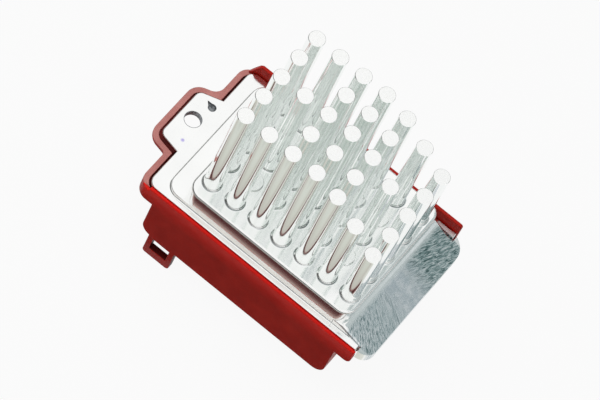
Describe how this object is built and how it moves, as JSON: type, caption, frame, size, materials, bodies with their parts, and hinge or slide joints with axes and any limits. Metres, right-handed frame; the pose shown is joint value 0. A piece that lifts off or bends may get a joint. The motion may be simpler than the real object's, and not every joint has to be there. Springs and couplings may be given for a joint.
{
  "type": "blower motor resistor",
  "caption": "Blower motor resistor with a cast pin-fin heat sink, a screw tab and a moulded housing with two plug sockets underneath; it sets a cabin fan's speed.",
  "frame": {"origin": "on the axis of the tab's screw hole, at the top face of the base plate", "axes": "+X along the base plate from the tab to the lip, +Y across it to the side with the tall housing wall, +Z along the cooling pins, away from the plug sockets"},
  "size_m": [0.097, 0.0566, 0.0893],
  "materials": {
    "cast_aluminium": "as cast, lightly blasted",
    "red_plastic": "moulded, satin",
    "board_laminate": "solder mask",
    "black_epoxy": "moulded",
    "insulating_film": "smooth",
    "screw_steel": "zinc plated",
    "tinned_brass": "tin plated",
    "resistance_alloy": "rolled",
    "capacitor_sleeve": "shrunk sleeve",
    "film_resin": "moulded case",
    "fuse_metal": "tin plated"
  },
  "bodies": {
    "root": {"heat_sink": "cast_aluminium", "housing": "red_plastic", "circuit_board": "board_laminate", "power_transistor_left": "black_epoxy", "power_transistor_right": "black_epoxy", "insulating_pad_left": "insulating_film", "insulating_pad_right": "insulating_film", "transistor_screws": "screw_steel", "housing_screws": "screw_steel", "motor_blade_positive": "tinned_brass", "motor_blade_negative": "tinned_brass", "supply_blade_positive": "tinned_brass", "supply_blade_negative": "tinned_brass", "control_blade": "tinned_brass", "sense_blade": "tinned_brass", "shunt_resistor": "resistance_alloy", "control_chip": "black_epoxy", "chip_resistors": "black_epoxy", "bulk_capacitor": "capacitor_sleeve", "filter_capacitors": "film_resin", "suppressor_diode": "black_epoxy", "thermal_fuse": "fuse_metal"}
  },
  "joints": []
}
